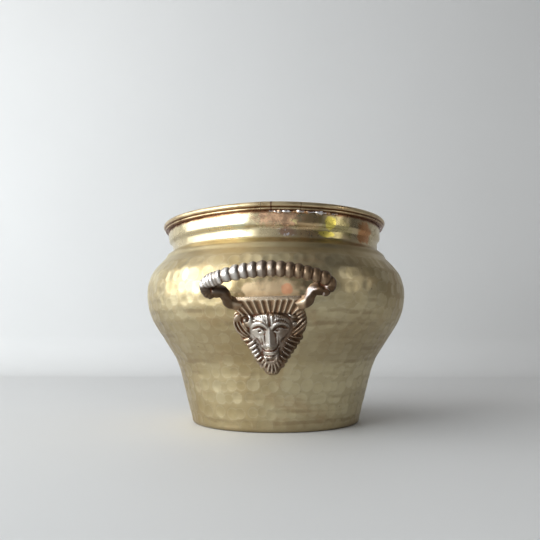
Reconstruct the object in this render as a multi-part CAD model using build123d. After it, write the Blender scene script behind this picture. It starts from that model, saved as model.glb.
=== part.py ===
from build123d import *

import math
import os

# A hammered brass cachepot with two cast lion-mask handles.
# Millimetres, +Z up. The origin is the centre of the flat bottom, on the surface the pot stands on.
# The front handle looks along -Y and the rear one along +Y.

# Pot wall: outside sizes. A corner is where two straight runs of the outline would meet.
# Each rise is the height above the corner below, and each inset the step inward from its wider neighbour.
wall = 1.0
belly_radius = 130.3
hip_inset, hip_height = 32.0, 59.2
foot_inset = 15.5
belly_low_rise, belly_high_rise = 49.4, 34.2
shoulder_inset, shoulder_rise = 16.9, 17.6
ring_inset, ring_rise = 2.0, 4.2
waist_inset, waist_rise = 6.8, 5.2
collar_rise = 8.2
neck_flare, neck_foot_rise = 2.9, 3.4
neck_rise = 18.6

hip_radius = belly_radius - hip_inset
foot_radius = hip_radius - foot_inset
belly_low_corner = hip_height + belly_low_rise
belly_high_corner = belly_low_corner + belly_high_rise
shoulder_radius, shoulder_height = belly_radius - shoulder_inset, belly_high_corner + shoulder_rise
ring_radius, ring_height = shoulder_radius - ring_inset, shoulder_height + ring_rise
waist_radius, waist_height = ring_radius - waist_inset, ring_height + waist_rise
collar_height = waist_height + collar_rise
neck_radius, neck_low = waist_radius + neck_flare, collar_height + neck_foot_rise
pot_height = neck_low + neck_rise

# Blend radii at those corners, in the same order
foot_blend = 3.6
hip_blend = 76.0
belly_low_blend = 61.0
belly_high_blend = 37.5
shoulder_blend = 2.5
ring_blend = 4.2
waist_blend = 3.4
collar_blend = 3.0
neck_blend = 3.0
blend_fit_share = 0.98

# Rolled rim: a strip with a main roll over a core wire, a thin reed under it and a lip inside the neck
rim_overhang = 5.2
roll_radius = 2.5
strip = 0.9
wire_play = 0.08
reed_radius = 1.2
reed_inset = 1.6
reed_drop = 3.5
lip_depth = 10.0
lip_play = 0.1
lip_edge = 0.6
joint_gap = 0.35
joint_angle = -4.6
rim_radius = neck_radius + rim_overhang

# Solder run under the rim, by angle from the front
solder_leg = 2.1
solder_start, solder_end = -6.0, 33.0
solder_play = 0.05

# Mask: its outline seen from the front, and how far it stands off the wall. It hangs from the crest's top.
seat_play = 0.15
crest_lift = 7.6
mask_length = 65.2
mask_half_width = 31.0
mask_lean = 1.2
plate = 3.2
crest_top_height = belly_low_corner + crest_lift
mask_tip_height = crest_top_height - mask_length
mask_outline_shares = [
    (0.09, 0.00),
    (0.19, 0.03),
    (0.25, 0.09),
    (0.35, 0.18),
    (0.53, 0.30),
    (0.71, 0.44),
    (0.93, 0.57),
    (1.00, 0.67),
    (0.97, 0.76),
    (0.87, 0.83),
    (0.87, 1.00),
]

# Locks of the mane: round tips up each jaw and beside each ear, and the hollows between the locks.
# Places are shares of the mask's half width and of its length.
tuft_radius = 2.6
tuft_count = 7
tuft_row_start_share, tuft_row_end_share = (0.27, 0.13), (0.80, 0.49)
ear_tuft_radius = 2.3
ear_tuft_shares = [(0.93, 0.73), (0.88, 0.79), (0.86, 0.85)]
lock_run_share = (-0.22, 0.055)
mane_lock_shares = [
    ((0.97, 0.56), (0.66, 0.50)),
    ((1.04, 0.64), (0.66, 0.56)),
    ((1.02, 0.72), (0.70, 0.64)),
]
lock_tip_radius, lock_root_radius = 1.2, 0.5

# Face: horizontal slices, each as height, half width and four reliefs from the middle outward.
# Heights are shares of the mask's length, half widths of its half width, reliefs of the nose's relief.
nose_relief = 12.5
face_root = 6.0
face_column_shares = (0.0, 0.34, 0.72, 1.0)
face_slice_shares = [
    (0.790, 0.42, (0.30, 0.30, 0.24, 0.10)),
    (0.750, 0.53, (0.48, 0.54, 0.44, 0.16)),
    (0.660, 0.57, (0.62, 0.72, 0.58, 0.20)),
    (0.600, 0.58, (0.68, 0.76, 0.62, 0.20)),
    (0.535, 0.56, (0.76, 0.46, 0.44, 0.20)),
    (0.450, 0.49, (0.92, 0.52, 0.42, 0.18)),
    (0.365, 0.41, (1.00, 0.66, 0.40, 0.16)),
    (0.320, 0.37, (0.74, 0.68, 0.40, 0.16)),
    (0.250, 0.33, (0.76, 0.62, 0.36, 0.16)),
    (0.170, 0.28, (0.70, 0.56, 0.32, 0.14)),
    (0.105, 0.21, (0.40, 0.36, 0.26, 0.12)),
]

# Crest: a flared coronet over the brow, with a plain band on top of a fan of flutes
crest_depth = 15.7
crest_foot_relief = 4.4
crest_relief = 11.5
crest_band = 4.2
crest_half_width = 27.0
flute_count = 11
flute_span = 84.0
flute_focus_drop = 36.2
flute_margin = 0.3
flute_start_radius, flute_end_radius = 1.05, 2.1
crest_foot_height = crest_top_height - crest_depth
flute_focus_height = crest_top_height - flute_focus_drop

# Reeded bow bar, drawn in a plane that leans out from the pot
bow_rise = 19.4
bow_standoff = 29.7
bow_lean = 38.0
bow_radius, bow_angle = 108.0, 24.6
curl_radius, curl_angle = 6.3, 160.0
bar_radius, bar_end_radius = 6.5, 4.7
reed_count = 18
groove_depth = 1.1
reed_crown_shares = (0.0, 0.24, 0.76)
bow_height = crest_top_height + bow_rise
bow_reach = belly_radius + bow_standoff

# Arms: the root under each corner of the crest, and the stations from there to the curled end of the bar.
# Each station is a share of the way in height, in reach from the pot's axis and in half width.
arm_drop = 6.7
arm_standoff = 2.7
arm_inset = 3.0
arm_station_shares = [
    (0.00, 0.00, 0.00),
    (0.04, 0.34, 0.27),
    (0.40, 0.60, 0.47),
    (0.95, 0.82, 0.63),
    (1.22, 1.02, 1.12),
]
arm_radii = (4.6, 4.3, 4.1, 4.3, 4.4)

# Rivets, square to the belly: how far down the mask each is set, and how far out to its side
left_rivet_share, right_rivet_share = 0.276, 0.313
rivet_span_share = 0.635
rivet_radius = 1.5
rivet_play = 0.1
head_radius, head_height = 2.2, 1.5
washer_radius, washer = 4.0, 1.0
washer_play = 0.1
tail_radius, tail_height = 2.1, 1.2
overrun = 20.0


def turned(profile):
    """A solid of revolution about the pot's axis, from an outline in radius and height."""
    return revolve(make_face(profile), Axis.Z)


def wall_corners(out):
    """The outline's corners as radius and height, moved outward by a distance, and the blend at each."""
    corners = [
        (0, 0),
        (foot_radius, 0),
        (hip_radius, hip_height),
        (belly_radius, belly_low_corner),
        (belly_radius, belly_high_corner),
        (shoulder_radius, shoulder_height),
        (ring_radius, ring_height),
        (waist_radius, waist_height),
        (waist_radius, collar_height),
        (neck_radius, neck_low),
        (neck_radius, pot_height),
    ]
    blends = (
        foot_blend,
        hip_blend,
        belly_low_blend,
        belly_high_blend,
        shoulder_blend,
        ring_blend,
        waist_blend,
        collar_blend,
        neck_blend,
    )
    return moved_out(corners, blends, out)


def moved_out(corners, blends, out):
    """Moves a chain of corners to its right by a distance, with blends that stay concentric and fit."""
    points = [Vector(x, 0, z) for x, z in corners]
    runs = [(b - a).normalized() for a, b in zip(points, points[1:])]
    normals = [Vector(run.Z, 0, -run.X) for run in runs]
    moved = [points[0] + normals[0] * out]
    radii = []
    for index, blend in enumerate(blends):
        before, after = normals[index], normals[index + 1]
        moved.append(points[index + 1] + (before + after) * (out / (1 + before.dot(after))))
        left_turn = runs[index].cross(runs[index + 1]).Y < 0
        radii.append(max(blend + (out if left_turn else -out), 0))
    moved.append(points[-1] + normals[-1] * out)
    return moved, fitted(moved, radii)


def fitted(points, radii):
    """Limits each blend so that its tangents and its neighbours' share the straight run between them."""
    turns = [
        math.radians((b - a).get_angle(c - b)) / 2
        for a, b, c in zip(points, points[1:], points[2:])
    ]
    reach = [0] + [radius * math.tan(turn) for radius, turn in zip(radii, turns)] + [0]
    legs = [(b - a).length for a, b in zip(points, points[1:])]
    room = [
        blend_fit_share * leg / max(low + high, blend_fit_share * leg)
        for leg, low, high in zip(legs, reach, reach[1:])
    ]
    return [radius * min(low, high) for radius, low, high in zip(radii, room, room[1:])]


def filled_to(out, top=pot_height):
    """The solid inside the pot's outline moved outward by a distance, cut off at a height."""
    points, radii = wall_corners(out)
    points[-1] = Vector(points[-1].X, 0, top)
    outline = FilletPolyline(*points, radius=radii)
    closing = Polyline(points[-1], (0, 0, top), points[0])
    return turned(outline + closing)


def wall_radius(height):
    """The radius of the outline's straight runs at a height."""
    points, _ = wall_corners(0)
    for low, high in zip(points[1:], points[2:]):
        if low.Z <= height <= high.Z:
            return low.X + (high.X - low.X) * (height - low.Z) / (high.Z - low.Z)
    return neck_radius


def on_front(half_width, reach, height):
    """A point at a distance from the pot's axis, to one side of the front."""
    return Vector(half_width, -math.sqrt(reach**2 - half_width**2), height)


def rivet_planes():
    """A plane at each rivet, on the wall's outside, facing squarely out."""
    rise = belly_low_corner - hip_height
    run = belly_radius - hip_radius
    planes = []
    for side, drop_share in ((-1, left_rivet_share), (1, right_rivet_share)):
        height = crest_top_height - mask_length * drop_share
        seat = on_front(side * mask_half_width * rivet_span_share, wall_radius(height), height)
        outward = Vector(seat.X, seat.Y, 0).normalized() * rise
        planes.append(Plane(origin=seat, z_dir=outward + Vector(0, 0, -run)))
    return planes


def upright(radius, height):
    """A cylinder that stands on its foot."""
    return Cylinder(radius, height, align=(Align.CENTER, Align.CENTER, Align.MIN))


def rivet_holes():
    """Drillings for the rivet shanks, through mask and wall."""
    radius = rivet_radius + rivet_play
    hole = Cylinder(radius, overrun)
    return [plane * hole for plane in rivet_planes()]


def both_ways(shape):
    """The shape and its copy on the far side of the pot."""
    return [shape, shape.rotate(Axis.Z, 180)]


def make_pot_body():
    """The raised shell, open at the neck, drilled for the rivets of both handles."""
    neck_top = pot_height - strip
    body = filled_to(0, neck_top) - filled_to(-wall, neck_top + overrun)
    for hole in rivet_holes():
        for drilling in both_ways(hole):
            body -= drilling
    return body


def rim_face(low_radius, high_radius, low, high):
    """A rectangle in radius and height, ready to turn."""
    corners = [(low_radius, 0, low), (high_radius, 0, low), (high_radius, 0, high), (low_radius, 0, high)]
    return make_face(Polyline(*corners, close=True))


def round_face(radius, centre_radius, height):
    """A disc in radius and height, ready to turn."""
    return Plane(origin=(centre_radius, 0, height), z_dir=(0, -1, 0)) * Circle(radius)


def make_rim():
    """The rolled strip with its butt joint, and the core wire."""
    roll_centre = rim_radius - roll_radius
    roll_height = pot_height - roll_radius
    reed_centre, reed_height = roll_centre - reed_inset + reed_radius, roll_height - reed_drop
    lip_radius = neck_radius - wall - lip_play - strip
    outer_web = neck_radius + lip_play
    section = (
        rim_face(lip_radius, neck_radius - wall - lip_play, pot_height - lip_depth, pot_height)
        + rim_face(lip_radius, roll_centre, pot_height - strip + lip_play, pot_height)
        + rim_face(outer_web, roll_centre, reed_height - reed_radius, pot_height)
        + round_face(roll_radius, roll_centre, roll_height)
        + round_face(reed_radius, reed_centre, reed_height)
    )
    lip_corner = section.vertices().group_by(Axis.Z)[-1].sort_by(Axis.X)[0]
    section = fillet(lip_corner, lip_edge)
    core = roll_radius - strip
    section = section - round_face(core, roll_centre, roll_height)
    strip_ring = revolve(section, Axis.Z)
    slit = Pos(0, -rim_radius, pot_height) * Box(joint_gap, overrun * 2, overrun * 2)
    strip_ring -= slit.rotate(Axis.Z, joint_angle)
    wire = Pos(0, 0, roll_height) * Torus(roll_centre, core - wire_play)
    return strip_ring, wire


def make_solder():
    """The run of solder in the corner between the neck and the underside of the rim."""
    foot = pot_height - roll_radius - reed_drop - reed_radius - solder_play
    inside = neck_radius + solder_play
    corner = (inside, 0, foot)
    section = make_face(
        Polyline(corner, (inside + solder_leg, 0, foot), (inside, 0, foot - solder_leg), close=True)
    )
    run = revolve(section, Axis.Z, solder_end - solder_start)
    return run.rotate(Axis.Z, solder_start - 90)


def mask_shield():
    """The mask's outline seen from the front, as a block that reaches through the wall."""
    half = [
        (mask_half_width * across, mask_tip_height + mask_length * up)
        for across, up in mask_outline_shares
    ]
    right = [(x, 0, z) for x, z in half]
    left = [(-x, 0, z) for x, z in reversed(half)]
    shield = make_face(Polyline(*right, *left, close=True))
    return extrude(shield + tufts(), amount=belly_radius + overrun * 2, dir=(0, -1, 0))


def jaw_place(index):
    """A place in the row of tufts up the jaw, in shares of the mask. Halves lie between two tufts."""
    along = index / (tuft_count - 1)
    return [low + (high - low) * along for low, high in zip(tuft_row_start_share, tuft_row_end_share)]


def tufts():
    """The round tips of the mane's locks, up each jaw and beside each ear."""
    rows = [(*jaw_place(index), tuft_radius) for index in range(tuft_count)]
    rows += [(across, up, ear_tuft_radius) for across, up in ear_tuft_shares]
    discs = []
    for across, up, radius in rows:
        for side in (-1, 1):
            middle = (side * mask_half_width * across, 0, mask_tip_height + mask_length * up)
            discs.append(Plane(origin=middle, z_dir=(0, -1, 0)) * Circle(radius))
    return discs


def lock_hollows():
    """Tapered hollows between the locks of the mane, sunk in the face of the plate."""
    runs = list(mane_lock_shares)
    run_across, run_up = lock_run_share
    for index in range(tuft_count - 1):
        across, up = jaw_place(index + 0.5)
        runs.append(((across - run_across / 2, up), (across + run_across, up + run_up)))
    hollows = []
    for run in runs:
        for side in (-1, 1):
            tip, root = [plate_point(side * across, up) for across, up in run]
            hollows.append(tapered(tip, root, lock_tip_radius, lock_root_radius))
    return hollows


def plate_point(across, up):
    """A point on the face of the plate, at shares of the mask's half width and length."""
    height = mask_tip_height + mask_length * up
    return on_front(mask_half_width * across, wall_radius(height) + seat_play + plate, height)


def tapered(start, end, start_radius, end_radius):
    """A cone between two points."""
    cone = Cone(
        start_radius,
        end_radius,
        (end - start).length,
        align=(Align.CENTER, Align.CENTER, Align.MIN),
    )
    return Plane(origin=start, z_dir=end - start) * cone


def face_slice(up, across, reliefs):
    """One horizontal slice of the face, from cheek to cheek, closed behind the wall."""
    height = mask_tip_height + mask_length * up
    half_width = mask_half_width * across
    wall_here = wall_radius(height)
    right = [
        on_front(half_width * column, wall_here + nose_relief * relief, height)
        for column, relief in zip(face_column_shares, reliefs)
    ]
    left = [Vector(-point.X, point.Y, point.Z) for point in reversed(right[1:])]
    root = wall_here - face_root
    back = [on_front(half_width, root, height), on_front(-half_width, root, height)]
    return make_face(Spline(*left, *right) + Polyline(right[-1], *back, left[0]))


def make_face_relief():
    """Forehead, brows, eye hollows, nose, muzzle and chin."""
    slices = [face_slice(*row) for row in face_slice_shares]
    return loft(slices)


def crest_radius(height):
    """The flared front of the crest at a height."""
    low = wall_radius(crest_foot_height) + crest_foot_relief
    high = wall_radius(crest_top_height) + crest_relief
    band_foot = crest_top_height - crest_band
    return low + (high - low) * (height - crest_foot_height) / (band_foot - crest_foot_height)


def make_crest():
    """The coronet: a flared rim of metal with its plain band, cut by a fan of tapered flutes."""
    band_foot = crest_top_height - crest_band
    root = wall_radius(crest_foot_height) - face_root
    section = Polyline(
        (root, 0, crest_foot_height),
        (crest_radius(crest_foot_height), 0, crest_foot_height),
        (crest_radius(band_foot), 0, band_foot),
        (crest_radius(band_foot) + flute_start_radius, 0, band_foot),
        (crest_radius(band_foot) + flute_start_radius, 0, crest_top_height),
        (root, 0, crest_top_height),
        close=True,
    )
    ring = turned(section)
    window = Pos(0, -belly_radius, (crest_foot_height + crest_top_height) / 2) * Box(
        crest_half_width * 2, overrun * 4, overrun * 2
    )
    crest = ring & window
    for flute in flutes():
        crest -= flute
    return crest


def flutes():
    """Tapered hollows that fan out from the middle of the face."""
    cones = []
    flute_start = crest_foot_height - flute_focus_height + flute_margin
    for index in range(flute_count):
        lean = math.radians(flute_span * (index / (flute_count - 1) - 0.5))
        flute_end = (crest_top_height - crest_band - flute_focus_height) / math.cos(lean)
        ends = []
        for distance in (flute_start, flute_end):
            x = distance * math.sin(lean)
            z = flute_focus_height + distance * math.cos(lean)
            ends.append(on_front(x, crest_radius(z), z))
        cones.append(tapered(*ends, flute_start_radius, flute_end_radius))
    return cones


def bow_half_length():
    """Half the length of the bar's centre line."""
    return bow_radius * math.radians(bow_angle) + curl_radius * math.radians(curl_angle)


def bow_point(distance):
    """The bar's centre line at a distance from its middle, and its direction, in the leaning plane."""
    side = 1 if distance >= 0 else -1
    first = bow_radius * math.radians(bow_angle)
    travel = abs(distance)
    if travel <= first:
        turn = travel / bow_radius
        x = bow_radius * math.sin(turn)
        drop = bow_radius * (1 - math.cos(turn))
    else:
        start = math.radians(bow_angle)
        turn = start + (travel - first) / curl_radius
        x = bow_radius * math.sin(start) + curl_radius * (math.sin(turn) - math.sin(start))
        drop = bow_radius * (1 - math.cos(start)) + curl_radius * (math.cos(start) - math.cos(turn))
    down = Vector(0, math.sin(math.radians(bow_lean)), -math.cos(math.radians(bow_lean)))
    middle = Vector(0, -bow_reach, bow_height)
    point = middle + Vector(side * x, 0, 0) + down * drop
    direction = Vector(math.cos(turn), 0, 0) + down * (side * math.sin(turn))
    return point, direction


def make_bar():
    """The bow bar: a row of barrel-shaped reeds that gets slimmer towards both curled ends."""
    half_length = bow_half_length()
    pitch = half_length * 2 / reed_count
    stations = []
    for index in range(reed_count):
        for crown_share in reed_crown_shares:
            stations.append(((index + crown_share) * pitch - half_length, crown_share > 0))
    stations.append((half_length, False))
    rings = []
    for distance, crown in stations:
        point, direction = bow_point(distance)
        taper = (distance / half_length) ** 2
        radius = bar_radius + (bar_end_radius - bar_radius) * taper
        rings.append(Plane(origin=point, z_dir=direction) * Circle(radius if crown else radius - groove_depth))
    return loft(rings, ruled=True)


def make_arm(side):
    """One S-shaped arm, from the crest's corner out and up to the curled end of the bar."""
    end, _ = bow_point(bow_half_length())
    root = (crest_top_height - arm_drop, belly_radius + arm_standoff, crest_half_width - arm_inset)
    tip = (end.Z, math.hypot(end.X, end.Y), end.X)
    centres = []
    for shares in arm_station_shares:
        height, reach, half_width = [a + (b - a) * share for a, b, share in zip(root, tip, shares)]
        centres.append(on_front(side * half_width, reach, height))
    path = Spline(*centres)
    rings = []
    for index, radius in enumerate(arm_radii):
        share = index / (len(arm_radii) - 1)
        at = path.param_at_point(centres[index]) if 0 < share < 1 else share
        rings.append(Plane(origin=centres[index], z_dir=path % at) * Circle(radius))
    return loft(rings)


def leaned(shape):
    """The shape as it was set by hand, turned a little about the middle of the mask."""
    pivot = (0, 0, mask_tip_height + mask_length / 2)
    return shape.rotate(Axis(pivot, (0, 1, 0)), -mask_lean)


def make_handle():
    """The front handle casting, with its back cut to the belly and its rivet seats spot-faced."""
    mask = leaned(mask_shield()) & filled_to(seat_play + plate)
    for hollow in lock_hollows():
        mask -= leaned(hollow)
    carved = make_face_relief() + make_crest() + make_arm(-1) + make_arm(1) + make_bar()
    casting = mask + leaned(carved)
    casting -= filled_to(seat_play)
    for plane in rivet_planes():
        casting -= plane * (Pos(0, 0, plate) * upright(head_radius + rivet_play, overrun / 2))
    for hole in rivet_holes():
        casting -= hole
    return casting


def make_rivets():
    """The two rivets of the front handle: round head outside, peened tail inside."""
    grip = wall + washer + washer_play * 3
    rivets = []
    for plane in rivet_planes():
        shank = Pos(0, 0, -grip) * upright(rivet_radius, grip + plate + rivet_play)
        head = Pos(0, 0, plate + rivet_play) * dome(head_radius, head_height)
        tail = Pos(0, 0, -grip) * dome(tail_radius, tail_height).rotate(Axis.X, 180)
        rivets.append(plane * (shank + head + tail))
    return rivets


def dome(radius, height):
    """A low dome on a flat foot, as part of a ball."""
    ball = (radius**2 + height**2) / (2 * height)
    block = Pos(0, 0, height / 2) * Box(radius * 2, radius * 2, height)
    return (Pos(0, 0, height - ball) * Sphere(ball)) & block


def make_washers():
    """The two washers inside the pot, dished to the wall."""
    cavity = filled_to(-wall - washer_play)
    washers = []
    for plane in rivet_planes():
        blank = Pos(0, 0, -wall - washer - washer_play) * upright(washer_radius, overrun)
        hole = Cylinder(rivet_radius + rivet_play, overrun)
        washers.append((plane * blank - plane * hole) & cavity)
    return washers


def save(name, shapes):
    """Writes one node, which may hold several solids."""
    solids = [solid for shape in shapes for solid in shape.solids()]
    node = solids[0] if len(solids) == 1 else Compound(solids)
    export_step(node, "parts/" + name + ".step")


def main():
    os.makedirs("parts", exist_ok=True)
    save("pot_body", [make_pot_body()])
    rim_bead, rim_wire = make_rim()
    save("rim_bead", [rim_bead])
    save("rim_wire", [rim_wire])
    save("rim_solder", [make_solder()])
    handle_parts = {
        "handle": [make_handle()],
        "handle_rivets": make_rivets(),
        "rivet_washers": make_washers(),
    }
    for name, shapes in handle_parts.items():
        save("front_" + name, shapes)
        save("rear_" + name, [shape.rotate(Axis.Z, 180) for shape in shapes])


main()
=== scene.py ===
import math

import bpy
import numpy as np
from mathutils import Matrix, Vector


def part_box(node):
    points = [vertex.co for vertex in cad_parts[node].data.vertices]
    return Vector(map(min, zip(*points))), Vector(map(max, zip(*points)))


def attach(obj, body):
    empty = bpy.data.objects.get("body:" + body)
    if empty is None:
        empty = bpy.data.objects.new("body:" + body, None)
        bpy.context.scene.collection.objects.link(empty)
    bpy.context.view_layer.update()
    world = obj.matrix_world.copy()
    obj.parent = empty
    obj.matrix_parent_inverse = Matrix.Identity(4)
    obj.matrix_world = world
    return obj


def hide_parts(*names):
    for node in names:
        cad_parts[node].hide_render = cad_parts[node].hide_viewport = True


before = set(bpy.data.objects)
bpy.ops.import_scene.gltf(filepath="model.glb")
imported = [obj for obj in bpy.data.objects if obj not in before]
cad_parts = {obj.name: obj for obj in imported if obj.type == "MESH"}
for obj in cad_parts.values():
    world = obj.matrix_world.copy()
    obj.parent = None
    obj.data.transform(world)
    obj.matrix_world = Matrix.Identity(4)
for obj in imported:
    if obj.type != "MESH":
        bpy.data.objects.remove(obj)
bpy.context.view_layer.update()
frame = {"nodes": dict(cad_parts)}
nodes = frame["nodes"]

# Sizes are in millimetres, as on the part's drawing. Meshes, and heights in materials, are in metres.
MM = 0.001

# Pot: corners of the outside as inset from the belly, height and blend radius, from the bottom up
belly_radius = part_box("pot_body")[1].x / MM
neck_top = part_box("pot_body")[1].z / MM
wall = 1.0
outline_insets = [
    (47.5, 0, 3.6), (32, 59.2, 76), (0, 108.6, 61), (0, 142.8, 37.5), (16.9, 160.4, 2.5), (18.9, 164.6, 4.2),
    (25.7, 169.8, 3.4), (25.7, 178, 3), (22.8, 181.4, 3), (22.8, neck_top, 0),
]
outline_corners = [(0, 0, 0)] + [(belly_radius - inset, z, blend) for inset, z, blend in outline_insets]
outside_columns = 520
outside_step, inside_step, slope_step = 1.55, 4.2, 0.4
blend_steps = 48
bottom_rings, coarse_bottom_rings = 9, 5
bottom_start, bottom_margin, foot_margin, neck_margin = 6.0, 4.5, 3.0, 1.0

# Planishing marks: rows that run round the pot, and the heights between which they fade in and out
mark_row_pitch, mark_row_count, first_mark_row = 11.9, 15, 88.5
mark_spacing = 9.4
mark_sizes, mark_depths = (4.6, 6.2), (0.24, 0.58)
mark_tilt = 0.02
mark_jitter_up, mark_jitter_round = 1.05, 0.23
mark_sharpness, exponent_limit = 70, 40
mark_edge_depth = 0.16
marks_fade_in, marks_fade_out = (2, 5), (152.5, 156.5)

# Slow waves of the wall: depth, waves round the pot, phase, and height in which the phase gains 1
wall_waves = [(0.16, 3, 0.8, 31), (0.10, 5, -1.1, -19), (0.06, 11, 2.3, 13)]
cross_wave = (0.04, 17, -0.4, 7)
waves_fade_in, burnish_fade_in = (0, 12), (165, 172)
burnish_rings, burnish_hatch, burnish_slant = 0.05, 0.07, 0.05

# The neck and the rim aren't quite round or level: their left side is bent out and down
bend_start, bend_full = 162, 192
bend_out, bend_down, bend_up, bend_softness = 3.0, 3.5, 0.4, 0.15

# Mask: a relief over the plane seen from the front, before the lean
mask_length, mask_half_width, mask_top = 65.2, 31.0, 116.2
mask_tip = mask_top - mask_length
mask_lean = math.radians(1.2)
seat_play, plate, edge_plate = 0.15, 3.1, 0.4
ground_edge, ground_rise, ground_fade = 1.9, 1.6, (-26, -14)
mask_step, edge_round, edge_share, top_sharpness, cast_grain = 0.36, 1.5, 0.25, 3, 0.05
mask_outline_shares = [
    (0.09, 0.00), (0.19, 0.03), (0.25, 0.09), (0.35, 0.18), (0.53, 0.30), (0.71, 0.44),
    (0.93, 0.57), (1.00, 0.67), (0.97, 0.76), (0.87, 0.83), (0.87, 1.00),
]
tuft_count, tuft_radius = 7, 2.5
tuft_low, tuft_high = (8.4, 59.5), (24.8, 83.0)
ear_lobes = [(28.6, 98.4, 2.2), (27.6, 102.2, 2.3), (26.8, 106.2, 2.2)]
left_jaw_trim = (2.3, 76.5, 12.0)
rivet_places, rivet_recess = [(-19.68, 98.2), (19.68, 95.8)], (2.25, 3.05)

# Crest over the brow
crest_foot, crest_band = 100.5, 4.0
crest_foot_reach, crest_top_reach = 129.4, 141.8
crest_brow, crest_brow_bend, crest_fade, band_grain = 102.9, 0.006, (-1.0, 0.8), 0.13
flute_low, flute_high, flute_depths = 102.5, 112.5, (2.5, 0.52)
flute_least, flute_over, flute_end = 0.5, 0.6, 1.5
flute_ridges = [
    (-22.4, -34), (-17.6, -25.8), (-13.4, -18.9), (-9.2, -12.6), (-4.2, -6.3), (0.6, -1.4), (3.2, 5.8),
    (7.5, 10.6), (11.7, 15.5), (15.4, 20.4), (20.2, 31),
]
crest_sides = [(-23.0, 101.6, -0.95), (19.0, 101.0, 0.70)]

# Bow bar, and its arms as stations of height, reach from the axis, distance from the middle and radius
bow_height, bow_reach = mask_top + 19.4, belly_radius + 29.7
bow_lean = math.radians(38)
bow_radius, bow_angle = 108.0, math.radians(24.6)
curl_radius, curl_angle = 6.3, math.radians(160)
bar_radius, bar_end_radius, bar_end_round, bar_tip = 6.6, 4.9, 3.5, 0.05
reed_count, reed_shift_share = 18, 0.07
reed_peak, reed_fall, reed_groove = 0.14, 1.3, 0.8
reed_swell, reed_slant, reed_flat = 0.25, 0.30, 0.22
fine_reeds, fine_pitch = 9, 2.7
bar_step, bar_columns = 0.4, 44
arm_stations = [
    (110.6, 135.8, 24.6, 4.8), (111.2, 140.2, 29, 5), (113.2, 144, 32.4, 4.6), (116.6, 147.2, 33.8, 4.1),
    (119.8, 149.8, 36.4, 4.7), (120.6, 152.4, 40.8, 5.2), (120.4, 154.2, 44.4, 4.8),
]
arm_steps, arm_columns, arm_squareness, arm_fit, arm_twist = 10, 40, 4, 0.93, math.radians(30)
cast_voxel = 0.485
hollow_rounds = {"hollow_fine": 8, "hollow_broad": 90}

# Solder under the rim: its angles from the front to the right, its section, and lumps of a size and a rate
solder_start, solder_end = math.radians(-1), math.radians(33)
solder_steps, solder_columns = 150, 14
solder_size, solder_least, solder_width, solder_height = 1.1, 0.35, 0.95, 1.15
solder_lumps = [(0.45, 37), (0.35, 71), (0.25, 163)]
solder_drop, solder_ripple, solder_end_least = (0.175, 53), (0.12, 90), 0.02
solder_out, solder_rise, solder_inset = 0.35, 0.15, -0.3

# Stains on the brass, with two painted yellow reflections on the neck and a broad painted reflection under
# the bar: angle from the front and height in metres, the reach of both, strength and colour
copper_stain = ((0.06, 0.186), (0.21, 0.0085), 0.85)
solder_stain = ((0.13, 0.1745), (0.085, 0.0045), 0.9)
neck_stains_and_reflections = [
    ((0.32, 0.179), (0.13, 0.012), 0.55, (0.62, 0.40, 0.20)),
    ((0.56, 0.179), (0.20, 0.012), 0.60, (0.34, 0.30, 0.11)),
    # The next two yellow patches are painted reflections of a window, not stains
    ((0.505, 0.184), (0.055, 0.006), 0.72, (0.92, 0.78, 0.14)),
    ((0.475, 0.1738), (0.085, 0.003), 0.72, (0.92, 0.78, 0.14)),
    ((0.93, 0.180), (0.13, 0.011), 0.80, (0.50, 0.20, 0.06)),
    ((-0.27, 0.186), (0.08, 0.008), 0.5, (0.52, 0.58, 0.44)),
    ((-0.62, 0.137), (0.03, 0.006), 0.5, (0.70, 0.55, 0.58)),
]
chalky_stains_and_painted_reflection = [
    # The first, broad pale patch under the bar is a painted reflection; the other two are chalky copper
    # spots
    ((0.02, 0.1215), (0.24, 0.010), 0.62, (0.95, 0.70, 0.43)),
    ((-0.10, 0.1215), (0.085, 0.0075), 0.92, (1.0, 0.76, 0.45)),
    ((0.108, 0.1225), (0.042, 0.0048), 0.7, (0.98, 0.42, 0.22)),
]

# Creases of the rim as height, reach and strength, and dark marks across it as angle and reach
rim_creases = [(0.1953, 0.0007, 0.85), (0.1926, 0.0012, 0.95)]
rim_marks = [(0.0, 0.012), (0.233, 0.005)]

# Zones of the patina and of the painted shade under the belly, in metres or as shares of a mark: where each
# fades in and out. Pitch of its streaks
under_belly_shade_zone = (0.057, 0.066, 0.078, 0.112)
mark_brim_zone = (0.15, 0.5, 0.55, 0.95)
crest_zone = (0.1015, 0.1035, 0.117, 0.119)
arm_zone = (0.1045, 0.1065, 0.121, 0.1235)
bar_start = (0.116, 0.119)
streak_pitch = 0.0107

# Stage: the floor's reach, and the backdrop's place behind the pot
stage_reach, backdrop_place, cove_radius, cove_steps = 6000.0, 700.0, 90.0, 16

# Lamps: name, place and size in metres, watts, colour, and the height of what it faces
lamps = [
    ("key", (-1.42, -0.60, 0.60), (2.15, 1.30), 28.0, (0.95, 1.0, 1.03), 0.12),
    ("front", (-0.80, -0.88, 0.40), (0.60, 0.75), 6.0, (0.92, 1.0, 1.06), 0.12),
    ("strip", (1.02, -0.42, 0.42), (0.14, 0.55), 0.9, (1.0, 0.97, 0.90), 0.13),
    ("top", (-0.75, -0.1, 1.45), (1.2, 1.0), 3.4, (1.0, 0.99, 0.97), 0.1),
]

# Camera, from the photograph: its focal length is in pixels of a frame 540 wide
photo_width, focal_pixels, axis_pixel = 540, 579.16, 275.8
camera_distance, camera_height = 600.84, 83.6
camera_turn, camera_pitch = math.radians(2.14), 0.115
sensor_width = 36.0


def smooth_step(value, low, high):
    """0 below low, 1 above high, and an even curve between them."""
    share = np.clip((value - low) / (high - low), 0, 1)
    return share * share * (3 - 2 * share)


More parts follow.
